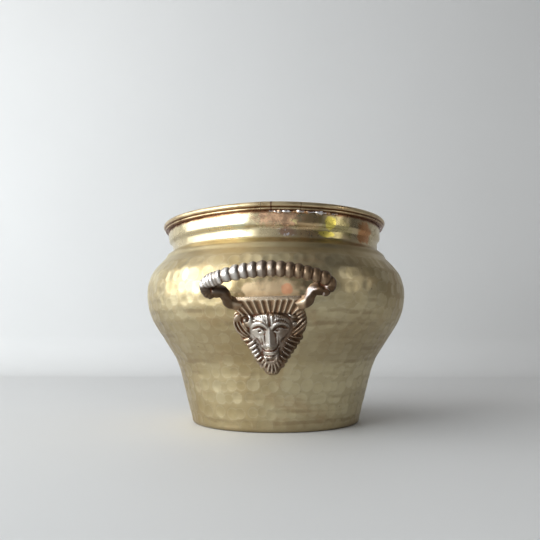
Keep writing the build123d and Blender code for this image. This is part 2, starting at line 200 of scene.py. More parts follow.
def rounded(corners):
    """A path of radius and height, through corners that each have a blend radius."""
    places, blends = np.array(corners, float)[:, :2], [corner[2] for corner in corners]
    path = [places[0]]
    for a, b, c, blend in zip(places, places[1:], places[2:], blends[1:]):
        run_in = (b - a) / np.linalg.norm(b - a)
        run_out = (c - b) / np.linalg.norm(c - b)
        turn = math.atan2(run_in[0] * run_out[1] - run_in[1] * run_out[0], run_in @ run_out)
        start = b - run_in * blend * math.tan(abs(turn) / 2)
        inward = np.array([-run_in[1], run_in[0]]) * math.copysign(blend, turn)
        for angle in np.linspace(0, turn, blend_steps):
            cos, sin = math.cos(angle), math.sin(angle)
            arm = np.array([-inward[0] * cos + inward[1] * sin, -inward[0] * sin - inward[1] * cos])
            path.append(start + inward + arm)
    return np.array(path + [places[-1]])


neck_radius = outline_corners[-1][0]
outline = rounded(outline_corners)
outline_length = np.concatenate([[0], np.cumsum(np.linalg.norm(np.diff(outline, axis=0), axis=1))])


def wall_reach(height):
    """The pot's outside radius at heights above the foot's blend."""
    side = outline[:, 1] > 0.01
    return np.interp(height, outline[side, 1], outline[side, 0])


def outline_place(distances):
    """Radius and height at distances along the outline from the middle of the bottom."""
    return [np.interp(distances, outline_length, outline[:, axis]) for axis in (0, 1)]


def along_outline(distances):
    """Radius, height and outward normal at distances along the outline."""
    radius, height = outline_place(distances)
    ahead = outline_place(np.clip(distances + slope_step, 0, outline_length[-1]))
    behind = outline_place(np.clip(distances - slope_step, 0, outline_length[-1]))
    run_r, run_z = ahead[0] - behind[0], ahead[1] - behind[1]
    length = np.hypot(run_r, run_z)
    return radius, height, run_z / length, -run_r / length


def make_mark_table():
    """Seeded sizes, depths, tilts and shifts of the marks, with a row of the table for each row of marks."""
    source = np.random.default_rng(7)
    distances = first_mark_row + mark_row_pitch * np.arange(mark_row_count)
    counts = np.rint(2 * math.pi * outline_place(distances)[0] / mark_spacing).astype(int)
    shape = (mark_row_count, counts.max())
    return {
        "distances": distances,
        "counts": counts,
        "shift": source.random(mark_row_count),
        "size": source.uniform(*mark_sizes, shape),
        "depth": source.uniform(*mark_depths, shape),
        "tilt_round": source.normal(0, mark_tilt, shape),
        "tilt_up": source.normal(0, mark_tilt, shape),
        "up": source.normal(0, mark_jitter_up, shape),
        "round": source.normal(0, mark_jitter_round, shape),
        "tone": source.random(shape),
    }


mark_table = make_mark_table()


def mark_relief(distance, turn, radius):
    """The marks: relief in mm, the tone of the mark a place lies in, and how near its edge it is."""
    table = mark_table
    turns = turn / (2 * math.pi)
    row = np.rint((distance - first_mark_row) / mark_row_pitch).astype(int)
    total = np.ones_like(distance)
    deepest = np.zeros_like(distance)
    tone = np.full_like(distance, 0.5)
    for row_step in (-1, 0, 1):
        j = np.clip(row + row_step, 0, mark_row_count - 1)
        count = table["counts"][j]
        nearest = np.rint(turns * count - table["shift"][j]).astype(int)
        for mark_step in (-1, 0, 1):
            k = nearest + mark_step
            item = (j, k % count)
            middle = (k + table["shift"][j] + table["round"][item]) / count
            across = ((turns - middle + 0.5) % 1 - 0.5) * 2 * math.pi * radius
            up = distance - table["distances"][j] - table["up"][item]
            away = (across**2 + up**2) / table["size"][item] ** 2
            dish = -table["depth"][item] * (1 - away)
            dish += table["tilt_round"][item] * across + table["tilt_up"][item] * up
            total += np.exp(np.clip(-mark_sharpness * dish, -exponent_limit, exponent_limit))
            tone = np.where(dish < deepest, table["tone"][item], tone)
            deepest = np.minimum(dish, deepest)
    return -np.log(total) / mark_sharpness, tone, np.clip(1 + deepest / mark_edge_depth, 0, 1)


def pot_relief(distance, turn, radius, height):
    """How far the real wall lies outside the drawn outline, and the tone and edges of its marks."""
    hammered = smooth_step(height, *marks_fade_in) * (1 - smooth_step(height, *marks_fade_out))
    relief, tone, edge = mark_relief(distance, turn, radius)
    waves = 0.0
    for depth, count, phase, rise in wall_waves:
        waves += depth * np.sin(count * turn + phase + height / rise)
    depth, count, phase, rise = cross_wave
    waves += depth * np.sin(count * turn + phase) * np.sin(height / rise)
    worked = burnish_rings * np.sin(height * 2.1)
    worked += burnish_hatch * np.sin(23 * turn + height / 5) * np.sin(height / 4.3 + 2 * turn)
    worked += burnish_slant * np.sin(41 * turn - height / 3.1)
    relief = relief * hammered + waves * smooth_step(height, *waves_fade_in)
    relief += worked * smooth_step(height, *burnish_fade_in)
    return relief, 0.5 + (tone - 0.5) * hammered, edge * hammered


def bent(places):
    """Places in millimetres, with the neck's left side bent out and down."""
    x, y, z = places.T
    share = smooth_step(z, bend_start, bend_full)
    left = np.clip(-x / neck_radius, 0, None)
    right = np.clip(x / neck_radius, 0, None)
    out = -bend_out * left**1.5 * share
    down = (bend_up * right - bend_down * left**2 / (left + bend_softness)) * share
    return np.stack([x + out, y, z + down], -1)


def in_scene(name, data):
    """A new object of the scene."""
    piece = bpy.data.objects.new(name, data)
    bpy.context.scene.collection.objects.link(piece)
    return piece


def smoothed(mesh):
    """A mesh that is shaded smooth."""
    mesh.polygons.foreach_set("use_smooth", [True] * len(mesh.polygons))
    mesh.update()
    return mesh


def mesh_object(name, vertices, faces):
    """A mesh object at the origin, from vertices in millimetres."""
    mesh = bpy.data.meshes.new(name)
    mesh.from_pydata([tuple(v) for v in np.asarray(vertices) * MM], [], faces)
    mesh.validate()
    return in_scene(name, smoothed(mesh))


def store(piece, name, values):
    """Keeps one value for each vertex of a piece, for its material."""
    piece.data.attributes.new(name, "FLOAT", "POINT").data.foreach_set("value", values)


def ring_faces(low, low_count, high, high_count):
    """Faces between two rings of vertices, where the counts are the same or one is twice the other."""
    if low_count < high_count:
        return [tuple(reversed(face)) for face in ring_faces(high, high_count, low, low_count)]
    faces = []
    for k in range(high_count):
        d, e = high + k, high + (k + 1) % high_count
        if low_count == high_count:
            faces.append((low + k, low + (k + 1) % low_count, e, d))
        else:
            a, b, c = low + 2 * k, low + 2 * k + 1, low + (2 * k + 2) % low_count
            faces += [(a, b, d), (b, e, d), (b, c, e)]
    return faces


def stacked_faces(rings, columns):
    """Faces between all rings of a tube."""
    starts = range(0, (rings - 1) * columns, columns)
    return [face for start in starts for face in ring_faces(start, columns, start + columns, columns)]


def make_pot():
    """The raised shell, outside and inside, with its planishing marks."""
    total = outline_length[-1]
    foot = outline_corners[1][0]
    flat = np.linspace(bottom_start, foot - bottom_margin, bottom_rings)
    outside = np.concatenate([flat, np.arange(foot - foot_margin, total, outside_step), [total]])
    inside_wall = np.arange(foot - foot_margin, total - neck_margin, inside_step)
    inside = np.concatenate([flat[:-1], inside_wall, [total]])[::-1]
    half = outside_columns // 2
    rings = [(d, 0.0, outside_columns if d > flat[coarse_bottom_rings] else half) for d in outside]
    rings += [(d, -wall, half) for d in inside]
    vertices, faces, starts, marks = [], [], [], []
    for distance, out, count in rings:
        turn = np.arange(count) * 2 * math.pi / count
        distances = np.full(count, distance)
        radius, height, normal_r, normal_z = along_outline(distances)
        relief, tone, edge = pot_relief(distances, turn, radius, height)
        offset = relief + out
        marks.extend(zip(tone, edge))
        r = radius + normal_r * offset
        z = np.maximum(height + normal_z * offset, 0.0)
        starts.append((len(vertices), count))
        vertices.extend(zip(r * np.sin(turn), -r * np.cos(turn), z))
    for low, high in zip(starts, starts[1:]):
        faces += ring_faces(*low, *high)
    for (start, count), height, flip in ((starts[0], 0.0, True), (starts[-1], wall, False)):
        fan = [(start + k, start + (k + 1) % count, len(vertices)) for k in range(count)]
        faces += [tuple(reversed(face)) for face in fan] if flip else fan
        vertices.append((0, 0, height))
        marks.append((0.5, 0.0))
    places = np.array(vertices, float)
    pot = mesh_object("hammered_pot", bent(places), faces)
    for name, values in zip(("mark_tone", "mark_edge"), np.array(marks).T):
        store(pot, name, values)
    store(pot, "level", places[:, 2] * MM)
    return pot


def smooth_max(a, b, blend):
    """The higher of two reliefs, with a fillet between them."""
    overlap = np.maximum(blend - np.abs(a - b), 0) / blend
    return np.maximum(a, b) + overlap * overlap * blend / 4


def dome(x, z, middle, radii, height, power=0.5):
    """A rounded boss."""
    inside = 1 - ((x - middle[0]) / radii[0]) ** 2 - ((z - middle[1]) / radii[1]) ** 2
    return height * np.clip(inside, 0, None) ** power


def curve_through(points, steps=8):
    """A smooth line through given points."""
    points = np.array(points, float)
    if len(points) == 2:
        return points
    ends = np.vstack([2 * points[0] - points[1], points, 2 * points[-1] - points[-2]])
    line = []
    for a, b, c, d in zip(ends, ends[1:], ends[2:], ends[3:]):
        for t in np.linspace(0, 1, steps, endpoint=False):
            bend, sway = 2 * a - 5 * b + 4 * c - d, 3 * b - a - 3 * c + d
            line.append(0.5 * (2 * b + (c - a) * t + bend * t**2 + sway * t**3))
    return np.array(line + [points[-1]])


def stroke(x, z, points, width, height, taper=0.25):
    """A raised line of a width and a height, thin at both ends. A height below zero makes a cut."""
    line = curve_through(points)
    lengths = np.concatenate([[0], np.cumsum(np.linalg.norm(np.diff(line, axis=0), axis=1))])
    nearest = np.full(x.shape, 1e9)
    place = np.zeros(x.shape)
    for index, (a, b) in enumerate(zip(line, line[1:])):
        run = b - a
        share = np.clip(((x - a[0]) * run[0] + (z - a[1]) * run[1]) / (run @ run), 0, 1)
        away = np.hypot(x - a[0] - share * run[0], z - a[1] - share * run[1])
        closer = away < nearest
        nearest = np.where(closer, away, nearest)
        at = (lengths[index] + share * (lengths[index + 1] - lengths[index])) / lengths[-1]
        place = np.where(closer, at, place)
    full = np.clip(np.minimum(place, 1 - place) / taper, 0.0, 1.0) ** 0.5
    reach = width * (end_width + (1 - end_width) * full)
    section = np.clip(1 - (nearest / reach) ** 2, 0, None)
    return height * section * (end_height + (1 - end_height) * full)


def carved(relief, x, z, strokes):
    """A relief with strokes added to it."""
    for each in strokes:
        relief = relief + stroke(x, z, *each)
    return relief


# Half the widths of face and beard and their heights over the wall along the middle, at heights. Each table
# is read at a number of places, and an average over a few of them makes it smooth
table_places, table_average = 160, 13
face_widths = [
    (62, 5), (66, 7), (69, 7.6), (71.5, 7.6), (74, 7.6), (76, 8), (78, 8.9), (80, 10.3), (82, 12.4),
    (84, 14.8), (86, 16.8), (88, 18.2), (91, 19), (94, 18.8), (97, 17.6), (99, 16.2), (100.6, 14.2),
    (101.8, 11.4), (102.8, 7.4), (103.5, 3),
]
face_heights = [
    (61, 3), (64, 6.6), (67, 8.4), (70, 9.2), (73, 9.4), (77, 8.6), (80, 8), (84, 7.6), (88, 7.9), (91, 9.4),
    (94, 10), (97, 9.8), (99.5, 8.9), (101.2, 7.6), (102.4, 6), (103.5, 3.6),
]
beard_widths = [(51, 2), (52.4, 4.8), (55, 7.2), (58, 8.8), (61, 9.8), (64, 9.6), (66.5, 8.4), (69, 6)]
beard_heights = [(51, 3.2), (53, 5.4), (57, 6.6), (61, 7.2), (65, 7.4), (69, 6)]

# Shape of the face's sides, the height over the wall at which it shows, and fillets between the reliefs
face_squareness, face_power, face_edge = 2.2, 0.6, 4
tip_fillet, nose_fillet, beard_fillet, locks_fillet, crest_fillet = 0.8, 0.6, 0.7, 0.6, 0.5

# Nose: a wedge that widens and rises from its root to its end, with a rounded tip over the mouth
nose_root, nose_end, nose_side = 92, 75, 6.8
nose_width, nose_flare, nose_ridge, nose_rise = 2.3, 3.1, 9.8, 3.4
nose_middle, nose_bend, nose_flat, nose_hollow = -0.5, 0.12, 0.35, 1.1
nose_fade_in, nose_fade_out = (73.6, 75.6), (91, 95)
nose_tip = ((-0.8, 76.2), (5.4, 4.2), 12.7)

# Ends of a stroke, as shares of its full width and height
end_width, end_height = 0.45, 0.3

# Strokes of the mask: points of (distance from its middle, height), then width, height and taper. A height
# below zero is a cut. The strokes of brows, lids, cheekbones and nose lie on both sides of the face
brow_strokes = [
    ([(1.2, 89.2), (4, 92.6), (8.6, 94.5), (13, 93.6), (16.4, 90.8)], 1.9, 1.9),
    ([(2.6, 94.6), (5.4, 97.2), (9.6, 98.3), (14, 96.9)], 1.1, 0.6),
    ([(2, 92.2), (5, 95.4), (9.6, 96.9), (14.8, 95.3)], 0.6, -0.8),
    ([(1.7, 87.2), (4.8, 90.4), (9.2, 92), (15, 90)], 1.35, -2.9, 0.3),
    ([(2.6, 87.6), (3.6, 85.4), (4.6, 83)], 1.7, -1.6, 0.4),
]
eye_socket, eyeball = ((8.6, 87), (7.6, 4), -1.6, 1.0), ((8.6, 87.4), (4.6, 2.2), 1.5, 0.7)
lid_strokes = [
    ([(4.6, 87), (7.4, 89.4), (10.8, 89.6), (14.2, 87.4)], 0.8, 0.6),
    ([(4.6, 85.2), (7.6, 84.6), (11.2, 85.4), (14, 86.6)], 0.8, 0.35),
]
pupil_strokes = [([(-10, 88.3), (-6.6, 88.8)], 1.25, -2.1, 0.4), ([(4.4, 88.3), (7.8, 89)], 1.25, -2.1, 0.4)]
cheekbone_strokes = [([(6.6, 80.6), (9.6, 82.6), (13.2, 85), (16.4, 88)], 2.4, 0.9)]
nose_cuts = [
    ([(4.6, 84.4), (4.7, 80.4), (5, 76.8)], 0.8, -1.1),
    ([(7.4, 83.4), (7, 79.2), (6.9, 76)], 0.8, -1.1),
]
mouth_strokes = [
    ([(-8.4, 75.4), (-6, 72.8), (-2.4, 72), (2.2, 72.2), (5.2, 74.2), (6.6, 77.6)], 1.0, -2.0, 0.15),
    ([(-8.3, 72.6), (-5.6, 71), (-1.8, 70.5), (2.6, 70.7), (5, 72.4), (6.3, 75.6)], 0.95, 1.25),
    ([(-9.4, 70.8), (-6.4, 69.6), (-2.8, 69), (1.8, 69), (4.4, 70.2), (6.6, 72.6)], 0.75, 0.9),
    ([(-9.8, 68.8), (-7.2, 68), (-5.2, 66.2), (-4.2, 63.4)], 0.95, 1.2),
    ([(8, 69.4), (6.4, 68), (5, 66.2), (4.2, 63.4)], 0.95, 1.2),
    ([(-3.4, 66.6), (-1, 66.2), (1.6, 66.7)], 1.1, 1.5),
    ([(-5.2, 68), (-2, 67.7), (1.6, 67.7), (4.2, 68.2)], 0.9, -2.0, 0.15),
    ([(-3.6, 64.2), (-0.8, 63.8), (2.6, 64.3)], 1.2, -1.0, 0.15),
]
furrow_strokes = [
    ([(1.9, 101.6), (2, 97), (1.7, 92.6)], 1.4, 0.9, 0.15),
    ([(-0.6, 102.6), (-0.3, 97), (0.1, 91.4)], 1.5, -1.7, 0.15),
]
forehead_lines = [
    [(-13.4, 98.4), (-9.6, 97)], [(-11.6, 99.8), (-8, 97.2)], [(-9.6, 100.6), (-6.4, 96.8)],
    [(-7.4, 101), (-4.9, 96.2)], [(-5.3, 101.2), (-3.6, 95.2)], [(-3.5, 100.8), (-2.4, 94.2)],
]
forehead_cut, hair_cut = (0.85, -1.35), (0.7, -0.9)
hair_rows, hair_start, hair_pitch = [(100.4, 5), (98.6, 6), (96.9, 6)], 4.2, 1.7
hair_shift, hair_arch, hair_reach, hair_lean = 0.6, 0.012, 0.7, (0.15, -0.25)
beard_locks = [
    [(-10.2, 60.8), (-8.4, 62.2), (-6.4, 64.6)],
    [(-8.2, 56.6), (-6.4, 58.6), (-4.4, 62.4)],
    [(-4.4, 53.4), (-3.2, 55.8), (-1.6, 60.6)],
    [(-0.2, 52.2), (0.2, 55.6), (0.4, 60.4)],
    [(4.2, 53.2), (3.4, 56.2), (2.3, 61)],
    [(8, 56.4), (6.2, 58.6), (4.6, 62.2)],
    [(10.2, 60.6), (8.6, 62), (6.8, 64.4)],
]
lock_ridge, lock_valley = (1.5, 2.0, 0.35), (2.6, -0.9, 0.3)
jaw_lines = [
    [(-23.4, 81), (-20.4, 81.4), (-16.6, 82.6)],
    [(-21.4, 76.9), (-18.2, 77.8), (-13.2, 80.8)],
    [(-19.4, 73.4), (-16.4, 74.6), (-11.4, 77.9)],
    [(-17.2, 70), (-14.6, 71.2), (-10.8, 74)],
    [(-15, 67), (-12.8, 68.2), (-9.7, 71)],
    [(-12.8, 63.6), (-10.8, 64.8), (-7.4, 67.4)],
    [(25.6, 82.4), (21.4, 82.6), (17, 83.6)],
    [(24.2, 78.4), (19.8, 79), (14.2, 81.6)],
    [(21.8, 74.4), (17.6, 75.6), (12, 78.8)],
    [(19, 70.6), (15.4, 72), (10.8, 75)],
    [(16.2, 67.2), (13.2, 68.6), (9.6, 71.6)],
    [(13.4, 63.8), (10.8, 65.2), (7.8, 68)],
]
left_mane = [
    [(-29.8, 97.6), (-29.6, 93.6), (-27, 88.6), (-22.6, 84.8), (-18.4, 82.6)],
    [(-27.6, 97), (-26, 92.4), (-23.2, 88), (-18.6, 84.6)],
    [(-25, 97.8), (-23.2, 93.4), (-20.8, 89.6), (-17.6, 86.2)],
    [(-22.6, 95.4), (-20.8, 92.4), (-18.6, 89.2)],
]
right_mane = [
    [(30.2, 94), (27.4, 90.2), (23.4, 86.8), (18.6, 83.4)],
    [(30.4, 97), (26.8, 93), (22.8, 89.4), (18.4, 86)],
    [(29, 99.4), (25.6, 96.4), (22.6, 93.6), (19.4, 90.6)],
    [(28.4, 102.2), (25.2, 99.6), (22.6, 98.2)],
    [(28.6, 105), (24.6, 102.4), (21, 100)],
    [(29.4, 107.8), (25.4, 105), (21.6, 102)],
]
ear_strands = [[(15.6, 100.9), (18.8, 100.2), (21.8, 100.6)], [(17.2, 98.9), (19.6, 98.9), (22.4, 99.4)]]
mane_locks = [
    (jaw_lines, (1.6, 3.0, 0.2)), (left_mane, (1.35, 2.6, 0.3)), (right_mane, (1.5, 2.7, 0.3)),
    (ear_strands, (1.1, 2.8, 0.3)),
]
ear_cuts = [([(-29.6, 100), (-27.6, 102.4), (-24.6, 103.4)], 0.8, -1.2, 0.3)]
ear_domes = [
    ((-27, 100.6), (4.2, 4.8), 2.7), ((-22.9, 102.8), (1.6, 1.1), 3.0), ((-28.2, 106), (2.2, 1.2), 3.0),
    ((-24.6, 105.2), (1.8, 0.9), 2.6), ((-17.4, 96.8), (4.8, 5.4), 4.2),
]
mane_top = (108.5, 110)


def along(table, z):
    """A value that changes smoothly with height, from a table of (height, value)."""
    heights, values = np.array(table).T
    spread = np.linspace(heights[0], heights[-1], table_places)
    kernel = np.hanning(table_average)
    padded = np.pad(np.interp(spread, heights, values), len(kernel) // 2, mode="reflect", reflect_type="odd")
    return np.interp(z, spread, np.convolve(padded, kernel / kernel.sum(), "valid"))


def hill(x, z, widths, heights, squareness=2.6, power=0.5):
    """A long rounded boss with a half width and a height at each height of the mask."""
    inside = (z > widths[0][0]) & (z < widths[-1][0])
    across = np.clip(np.abs(x) / along(widths, z), 0, 1)
    return np.where(inside, along(heights, z) * (1 - across**squareness) ** power, 0)


def nose_relief(x, z):
    """The wedge of the nose, as heights over the wall."""
    down = np.clip((nose_root - z) / (nose_root - nose_end), 0, 1)
    ridge = nose_ridge + nose_rise * down
    side = np.maximum(np.sqrt((x - nose_middle) ** 2 + nose_bend) - nose_flat, 0)
    nose = ridge - (ridge - nose_side) * (side / (nose_width + nose_flare * down)) ** nose_hollow
    nose = nose * smooth_step(z, *nose_fade_in) * (1 - smooth_step(z, *nose_fade_out))
    return smooth_max(nose, dome(x, z, *nose_tip), tip_fillet)


def eye_relief(x, z):
    """Brows, sockets, eyeballs, lids, pupils and cheekbones."""
    side = np.abs(x)
    relief = carved(0, side, z, brow_strokes)
    relief = relief + dome(side, z, *eye_socket) + dome(side, z, *eyeball)
    relief = carved(relief, side, z, lid_strokes)
    relief = carved(relief, x, z, pupil_strokes)
    return carved(relief, side, z, cheekbone_strokes)


def forehead_relief(x, z):
    """The furrow, the strokes on the left and the rows of short hairs on the right of the forehead."""
    relief = carved(0, x, z, furrow_strokes)
    relief = carved(relief, x, z, [(line, *forehead_cut) for line in forehead_lines])
    for row, (height, count) in enumerate(hair_rows):
        for index in range(count):
            middle_x = hair_start + hair_pitch * index + hair_shift * (row % 2)
            middle_z = height - hair_arch * middle_x**2
            top = (middle_x + hair_lean[0], middle_z + hair_reach)
            foot = (middle_x + hair_lean[1], middle_z - hair_reach)
            relief = relief + stroke(x, z, [top, foot], *hair_cut)
    return relief


def face_relief(x, z):
    """Head, nose, muzzle and beard, as heights over the wall."""
    relief = hill(x, z, face_widths, face_heights, face_squareness, face_power)
    shown = relief > face_edge
    relief = relief + eye_relief(x, z) * shown + forehead_relief(x, z) * shown
    relief = smooth_max(relief, nose_relief(x, z), nose_fillet)
    relief = carved(relief, np.abs(x), z, nose_cuts)
    beard = hill(x, z, beard_widths, beard_heights)
    for line in beard_locks:
        beard = carved(beard, x, z, [(line, *lock_ridge), (line, *lock_valley)])
    return carved(smooth_max(relief, beard, beard_fillet), x, z, mouth_strokes)


def mane_relief(x, z):
    """Locks of the mane: tufts up the jaw, long strands below the ears and lobes beside them."""
    relief = np.zeros(x.shape)
    for lines, size in mane_locks:
        for line in lines:
            relief = np.maximum(relief, stroke(x, z, line, *size))
    for each in ear_domes:
        relief = np.maximum(relief, dome(x, z, *each, 0.6))
    return carved(relief, x, z, ear_cuts)


def crest_relief(x, z):
    """The flared coronet with its fan of flutes and its plain band."""
    band_foot = mask_top - crest_band
    rise = np.clip((z - crest_foot) / (band_foot - crest_foot), -0.2, 1.0)
    relief = crest_foot_reach + (crest_top_reach - crest_foot_reach) * rise - wall_reach(z)
    share = (z - flute_low) / (flute_high - flute_low)
    end = np.sqrt(np.clip((band_foot + flute_over - z) / flute_end, 0, 1))
    for (low_a, high_a), (low_b, high_b) in zip(flute_ridges, flute_ridges[1:]):
        left = low_a + (high_a - low_a) * share
        right = low_b + (high_b - low_b) * share
        across = np.clip((2 * x - left - right) / np.maximum(right - left, flute_least), -1, 1)
        depth = np.minimum(flute_depths[0], flute_depths[1] * (right - left))
        relief -= depth * (0.5 + 0.5 * np.cos(math.pi * across)) * end
    grain = band_grain * np.sin(x * 5.3 + 1.7 * np.sin(z * 4.1)) * np.sin(z * 4.7 + 1.3 * np.sin(x * 3.7))
    relief += np.where(z > band_foot, grain, 0)
    lowest = crest_brow - crest_brow_bend * x**2
    for foot_x, foot_z, slope in crest_sides:
        beyond = (x - foot_x) * math.copysign(1, foot_x) > 0
        lowest = np.where(beyond, np.maximum(lowest, foot_z + slope * (x - foot_x)), lowest)
    return relief * smooth_step(z, lowest + crest_fade[0], lowest + crest_fade[1])


def mask_surface(x, z):
    """The whole relief of the mask over the wall."""
    ground = ground_edge + ground_rise * smooth_step(-np.abs(x), *ground_fade)
    locks = ground + mane_relief(x, z) * (1 - smooth_step(z, *mane_top))
    relief = smooth_max(locks, face_relief(x, z), locks_fillet)
    relief = smooth_max(relief, crest_relief(x, z), crest_fillet)
    for rivet_x, rivet_z in rivet_places:
        drop = rivet_z - (mask_tip + mask_length / 2)
        own_x = rivet_x * math.cos(mask_lean) + drop * math.sin(mask_lean)
        own_z = rivet_z - rivet_x * math.sin(mask_lean)
        seat = smooth_step(np.hypot(x - own_x, z - own_z), *rivet_recess)
        relief = np.minimum(relief, plate) * (1 - seat) + relief * seat
    cast = cast_grain * np.sin(x * 2.3 + np.sin(z * 1.9)) * np.sin(z * 2.6 + np.sin(x * 1.4))
    return relief + cast


def mask_edge(z, side):
    """The mask's reach to a side at heights: its outline with the tips of its locks."""
    shares = np.array(mask_outline_shares)
    edge = mask_half_width * np.interp((z - mask_tip) / mask_length, shares[:, 1], shares[:, 0])
    tufts = np.linspace(tuft_low, tuft_high, tuft_count)
    for middle_x, middle_z, radius in [(*tuft, tuft_radius) for tuft in tufts] + ear_lobes:
        reach = radius**2 - (z - middle_z) ** 2
        edge = np.where(reach > 0, np.maximum(edge, middle_x + np.sqrt(np.maximum(reach, 0))), edge)
    depth, middle, spread = left_jaw_trim
    trim = depth * np.clip(1 - ((z - middle) / spread) ** 2, 0, None)
    return edge - np.where(side < 0, trim, 0)


def leaned_plane(x, z):
    """Places on the mask's own plane, turned by the lean it was set with."""
    middle = mask_tip + mask_length / 2
    return (
        x * math.cos(mask_lean) - (z - middle) * math.sin(mask_lean),
        middle + (z - middle) * math.cos(mask_lean) + x * math.sin(mask_lean),
    )


def grid_faces(index):
    """Quads over a grid of vertex numbers."""
    corners = (index[:-1, :-1], index[:-1, 1:], index[1:, 1:], index[1:, :-1])
    return np.stack(corners, -1).reshape(-1, 4).tolist()


def mask_mesh():
    """The mask as a closed slab: carved front, back that follows the wall."""
    rows = int(mask_length / mask_step)
    columns = int(2 * mask_half_width / mask_step)
    z = np.linspace(mask_tip, mask_top, rows)[:, None] * np.ones(columns)
    u = np.linspace(-1, 1, columns)[None, :] * np.ones((rows, 1))
    edge = mask_edge(z, u)
    x = edge * u
    from_edge = np.minimum(edge * (1 - np.abs(u)), np.minimum(z - mask_tip, (mask_top - z) * top_sharpness))
    rounding = np.sqrt(np.clip(1 - (1 - np.clip(from_edge / edge_round, 0, 1)) ** 2, 0, 1))
    rounding = edge_share + (1 - edge_share) * rounding
    relief = seat_play + edge_plate + (mask_surface(x, z) - edge_plate) * rounding
    plane_x, plane_z = leaned_plane(x, z)
    layers = []
    for out in (relief, seat_play):
        reach = wall_reach(plane_z) + out
        layers.append(np.stack([plane_x, -np.sqrt(reach**2 - plane_x**2), plane_z], -1).reshape(-1, 3))
    front = np.arange(rows * columns).reshape(rows, columns)
    faces = grid_faces(front) + [face[::-1] for face in grid_faces(front + front.size)]
    rim = np.concatenate([front[0], front[1:, -1], front[-1, -2::-1], front[-2:0:-1, 0]]).tolist()
    faces += [(b, a, a + front.size, b + front.size) for a, b in zip(rim, rim[1:] + rim[:1])]
    return np.vstack(layers), faces


def swept(centres, directions, radii, columns):
    """A closed tube along centres, with a radius for each column at each centre."""
    vertices = []
    up = Vector((0, -0.5, 0.85))
    for centre, direction, reach in zip(centres, directions, radii):
        direction = Vector(direction).normalized()
        side = direction.cross(up).normalized()
        top = side.cross(direction)
        for k in range(columns):
            angle = 2 * math.pi * k / columns
            vertices.append(Vector(centre) + (side * math.cos(angle) + top * math.sin(angle)) * reach[k])
    faces = stacked_faces(len(centres), columns)
    first, last = len(vertices), len(vertices) + 1
    vertices += [Vector(centres[0]), Vector(centres[-1])]
    low = first - columns
    for k in range(columns):
        faces.append(((k + 1) % columns, k, first))
        faces.append((low + k, low + (k + 1) % columns, last))
    return np.array([tuple(v) for v in vertices]), faces


def bow_point(distance):
    """The bar's centre line at a distance from its middle, and its direction."""
    side = 1 if distance >= 0 else -1
    travel = abs(distance)
    bowed = min(travel / bow_radius, bow_angle)
    turn = bowed + max(travel - bow_radius * bow_angle, 0) / curl_radius
    x = bow_radius * math.sin(bowed) + curl_radius * (math.sin(turn) - math.sin(bowed))
    drop = bow_radius * (1 - math.cos(bowed)) + curl_radius * (math.cos(bowed) - math.cos(turn))
    down = np.array([0, math.sin(bow_lean), -math.cos(bow_lean)])
    point = np.array([side * x, -bow_reach, bow_height]) + down * drop
    return point, np.array([math.cos(turn), 0, 0]) + down * (side * math.sin(turn))


def bar_mesh():
    """The bow bar: chunky reeds with narrow grooves, each finished by hand."""
    source = np.random.default_rng(23)
    half = bow_radius * bow_angle + curl_radius * curl_angle
    pitch = 2 * half / reed_count
    shifts = source.uniform(-reed_shift_share, reed_shift_share, reed_count - 1)
    joints = np.linspace(-half, half, reed_count + 1) + np.concatenate([[0], shifts, [0]]) * pitch
    fine = -half + fine_pitch * np.arange(fine_reeds + 1)
    joints = np.concatenate([fine, joints[joints > fine[-1] + fine_pitch]])
    count = len(joints) - 1
    swell = source.uniform(-reed_swell, reed_swell, count)
    flats = source.uniform(0, 2 * math.pi, count)
    angles = 2 * math.pi * np.arange(bar_columns) / bar_columns
    centres, directions, radii = [], [], []
    for distance in np.arange(-half, half + bar_step / 2, bar_step):
        distance = min(distance, half)
        point, direction = bow_point(distance)
        slant = reed_slant * (distance / half) ** 2 * np.sign(distance)
        sheared = distance + slant * bar_radius * np.sin(angles)
        reed = np.clip(np.searchsorted(joints, sheared) - 1, 0, count - 1)
        low, high = joints[reed], joints[reed + 1]
        across = np.clip(2 * (sheared - low) / (high - low) - 1, -1, 1)
        radius = bar_radius + (bar_end_radius - bar_radius) * (distance / half) ** 2 + swell[reed]
        depth = np.minimum((high - low) / pitch, 1)
        left = np.clip(reed_peak - across, 0, None) / (1 + reed_peak)
        right = np.clip(across - reed_peak, 0, None) / (1 - reed_peak)
        radius -= depth * (reed_fall * (left**1.5 + right**2) + reed_groove * np.abs(across) ** 10)
        radius -= reed_flat * np.maximum(np.cos(2 * (angles - flats[reed])), 0)
        from_end = min((half - abs(distance)) / bar_end_round, 1)
        radius *= np.sqrt(1 - (1 - from_end) ** 2)
        centres.append(point)
        directions.append(direction)
        radii.append(np.maximum(radius, bar_tip))
    return swept(centres, directions, radii, bar_columns)


def arm_mesh(side):
    """One S-shaped arm from the crest's corner to the curl of the bar."""
    line = [(side * w, -math.sqrt(reach**2 - w**2), z, radius) for z, reach, w, radius in arm_stations]
    line = curve_through(line, arm_steps)
    directions = np.gradient(line[:, :3], axis=0)
    angles = 2 * math.pi * np.arange(arm_columns) / arm_columns + side * arm_twist
    squared = np.abs(np.cos(angles)) ** arm_squareness + np.abs(np.sin(angles)) ** arm_squareness
    flats = squared ** (-1 / arm_squareness)
    return swept(line[:, :3], directions, [radius * arm_fit * flats for radius in line[:, 3]], arm_columns)


